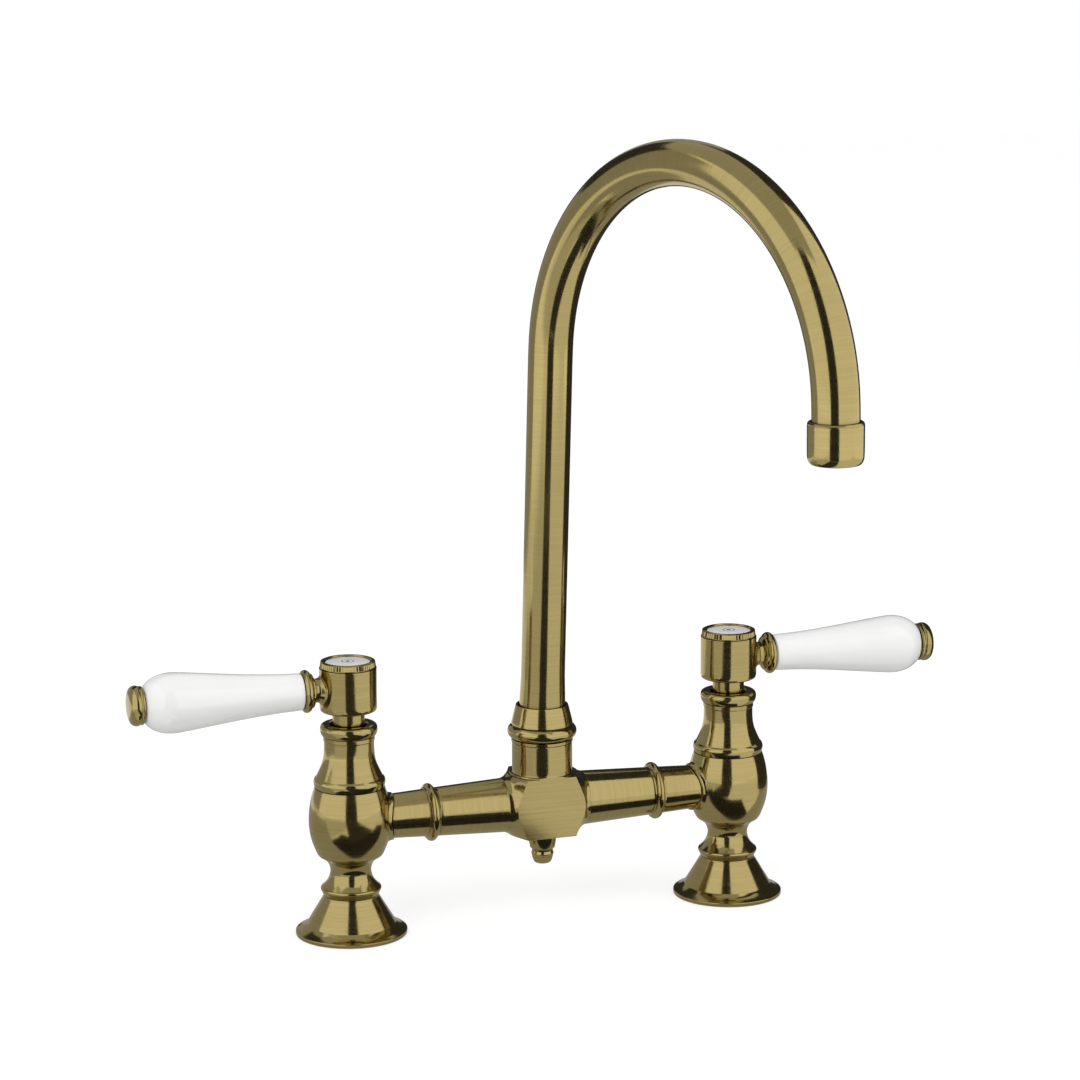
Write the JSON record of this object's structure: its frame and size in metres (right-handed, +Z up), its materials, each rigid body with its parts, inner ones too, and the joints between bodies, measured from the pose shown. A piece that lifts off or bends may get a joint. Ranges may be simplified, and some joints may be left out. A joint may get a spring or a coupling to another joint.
{
  "type": "bridge kitchen faucet",
  "caption": "Bridge kitchen faucet: turned pillars with lever handles, a cross bridge and a swivelling swan-neck spout.",
  "frame": {"origin": "on the worktop, midway between the two pillar axes", "axes": "+X along the bridge to the cold side, -Y to the sink and the user, +Z up"},
  "size_m": [0.4191, 0.2428, 0.3959],
  "materials": {
    "antique_brass": "brushed antique brass",
    "raw_brass": "machined",
    "porcelain": "white glaze",
    "valve_ceramic": "ground and polished",
    "steel": "stainless",
    "rubber": "matt black",
    "nylon": "moulded"
  },
  "bodies": {
    "body": {"hot_base_flange": "antique_brass", "hot_base_gasket": "rubber", "hot_pillar_body": "antique_brass", "hot_bonnet": "antique_brass", "hot_cartridge_barrel": "raw_brass", "hot_seat_washer": "rubber", "hot_fixed_disc": "valve_ceramic", "hot_bridge_arm": "antique_brass", "hot_arm_ring": "rubber", "cold_base_flange": "antique_brass", "cold_base_gasket": "rubber", "cold_pillar_body": "antique_brass", "cold_bonnet": "antique_brass", "cold_cartridge_barrel": "raw_brass", "cold_seat_washer": "rubber", "cold_fixed_disc": "valve_ceramic", "cold_bridge_arm": "antique_brass", "cold_arm_ring": "rubber", "bridge_block": "antique_brass", "bridge_finial": "antique_brass", "spout_nut": "antique_brass", "spout_slip_ring": "nylon"},
    "spout": {"spout_tube": "antique_brass", "spout_ferrule": "raw_brass", "spout_lower_ring": "rubber", "spout_upper_ring": "rubber", "aerator_collar": "antique_brass", "aerator_washer": "rubber", "aerator_insert": "nylon"},
    "hot_handle": {"hot_moving_disc": "valve_ceramic", "hot_spindle": "raw_brass", "hot_spindle_ring": "rubber", "hot_lever_hub": "antique_brass", "hot_hub_screw": "steel", "hot_index_ring": "antique_brass", "hot_index_disc": "porcelain", "hot_lever_ferrule": "antique_brass", "hot_tie_rod": "steel", "hot_inner_washer": "nylon", "hot_porcelain_lever": "porcelain", "hot_outer_washer": "nylon", "hot_end_knob": "antique_brass"},
    "cold_handle": {"cold_moving_disc": "valve_ceramic", "cold_spindle": "raw_brass", "cold_spindle_ring": "rubber", "cold_lever_hub": "antique_brass", "cold_hub_screw": "steel", "cold_index_ring": "antique_brass", "cold_index_disc": "porcelain", "cold_lever_ferrule": "antique_brass", "cold_tie_rod": "steel", "cold_inner_washer": "nylon", "cold_porcelain_lever": "porcelain", "cold_outer_washer": "nylon", "cold_end_knob": "antique_brass"}
  },
  "joints": [
    {"name": "spout_swivel", "type": "hinge", "parent": "body", "child": "spout", "pos_m": [0, 0, 0.1], "axis": [0, 0, 1], "continuous": true},
    {"name": "hot_valve", "type": "hinge", "parent": "body", "child": "hot_handle", "pos_m": [-0.1, 0, 0.12], "axis": [0, 0, 1], "range_deg": [0, 90]},
    {"name": "cold_valve", "type": "hinge", "parent": "body", "child": "cold_handle", "pos_m": [0.1, 0, 0.12], "axis": [0, 0, 1], "range_deg": [-87.5, 2.5]}
  ]
}
